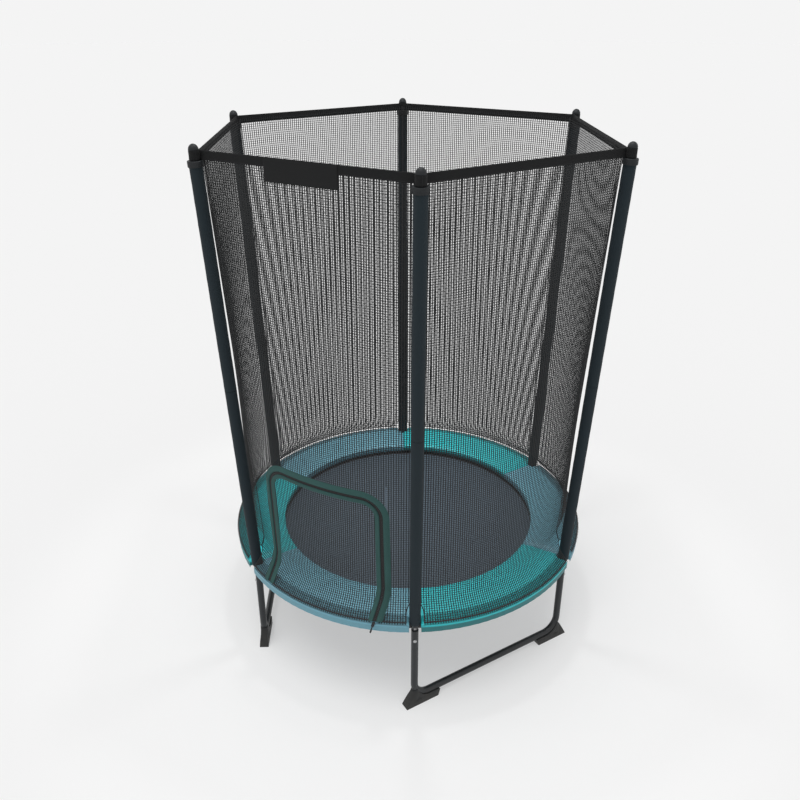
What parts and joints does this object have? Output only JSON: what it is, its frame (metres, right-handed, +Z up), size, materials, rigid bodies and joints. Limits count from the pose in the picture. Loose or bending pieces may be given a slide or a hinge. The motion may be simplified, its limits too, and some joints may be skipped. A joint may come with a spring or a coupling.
{
  "type": "trampoline",
  "caption": "Round child's trampoline with U legs, a ring of padded covers, foam-clad poles, a banded safety net and a zipped net door",
  "frame": {"origin": "on the ground under the centre of the jumping mat", "axes": "+Z up; -Y from the centre to the front pole; +X to the right, square to one side of the net"},
  "size_m": [1.8216, 1.9888, 2.5152],
  "materials": {
    "black_steel": "satin black powder coat",
    "black_foam": "matt closed-cell foam with a fabric skin",
    "black_plastic": "fine moulded grain",
    "black_webbing": "woven webbing",
    "black_netting": "knitted mesh",
    "mat_fabric": "woven charcoal polypropylene",
    "teal_cover": "coated cloth, bright teal",
    "slate_cover": "coated cloth, slate blue",
    "teal_binding": "teal webbing tape",
    "black_zinc": "black coated zinc"
  },
  "bodies": {
    "frame": {"rim_segment_1": "black_steel", "rim_segment_2": "black_steel", "rim_segment_3": "black_steel", "rim_segment_4": "black_steel", "rim_segment_5": "black_steel", "rim_segment_6": "black_steel", "leg_1": "black_steel", "leg_2": "black_steel", "leg_3": "black_steel", "foot_1": "black_plastic", "foot_2": "black_plastic", "foot_3": "black_plastic", "foot_4": "black_plastic", "foot_5": "black_plastic", "foot_6": "black_plastic", "pole_lower_1": "black_steel", "pole_lower_2": "black_steel", "pole_lower_3": "black_steel", "pole_lower_4": "black_steel", "pole_lower_5": "black_steel", "pole_lower_6": "black_steel", "pole_upper_1": "black_steel", "pole_upper_2": "black_steel", "pole_upper_3": "black_steel", "pole_upper_4": "black_steel", "pole_upper_5": "black_steel", "pole_upper_6": "black_steel", "sleeve_lower_1": "black_foam", "sleeve_lower_2": "black_foam", "sleeve_lower_3": "black_foam", "sleeve_lower_4": "black_foam", "sleeve_lower_5": "black_foam", "sleeve_lower_6": "black_foam", "sleeve_upper_1": "black_foam", "sleeve_upper_2": "black_foam", "sleeve_upper_3": "black_foam", "sleeve_upper_4": "black_foam", "sleeve_upper_5": "black_foam", "sleeve_upper_6": "black_foam", "pole_cap_1": "black_plastic", "pole_cap_2": "black_plastic", "pole_cap_3": "black_plastic", "pole_cap_4": "black_plastic", "pole_cap_5": "black_plastic", "pole_cap_6": "black_plastic", "pad_1": "teal_cover", "pad_2": "slate_cover", "pad_3": "teal_cover", "pad_4": "slate_cover", "pad_5": "teal_cover", "pad_6": "slate_cover", "net": "black_netting", "top_band": "black_webbing", "label_patch": "black_webbing", "door_binding": "teal_binding"},
    "mat": {"jump_mat": "mat_fabric"},
    "door": {"door_panel": "teal_binding"},
    "slider": {"zip_slider": "black_zinc"},
    "pull": {"zip_pull": "black_zinc"}
  },
  "joints": [
    {"name": "mat_bounce", "type": "slide", "parent": "frame", "child": "mat", "axis": [0, 0, 1], "range_m": [-0.15, 0], "stiffness_N_per_m": 5000, "springref_m": 0.02},
    {"name": "door_fold", "type": "hinge", "parent": "frame", "child": "door", "pos_m": [-0.4575, -0.79241, 0.522], "axis": [0.866, -0.5, 0], "range_deg": [0, 150]},
    {"name": "zip_slide", "type": "slide", "parent": "frame", "child": "slider", "axis": [0.3344, 0.5792, 0.7434], "range_m": [0, 0.09]},
    {"name": "zip_pull_swing", "type": "hinge", "parent": "slider", "child": "pull", "pos_m": [-0.1905, -0.91106, 0.51551], "axis": [-0.93, 0.3303, 0.161], "range_deg": [0, 120]}
  ]
}
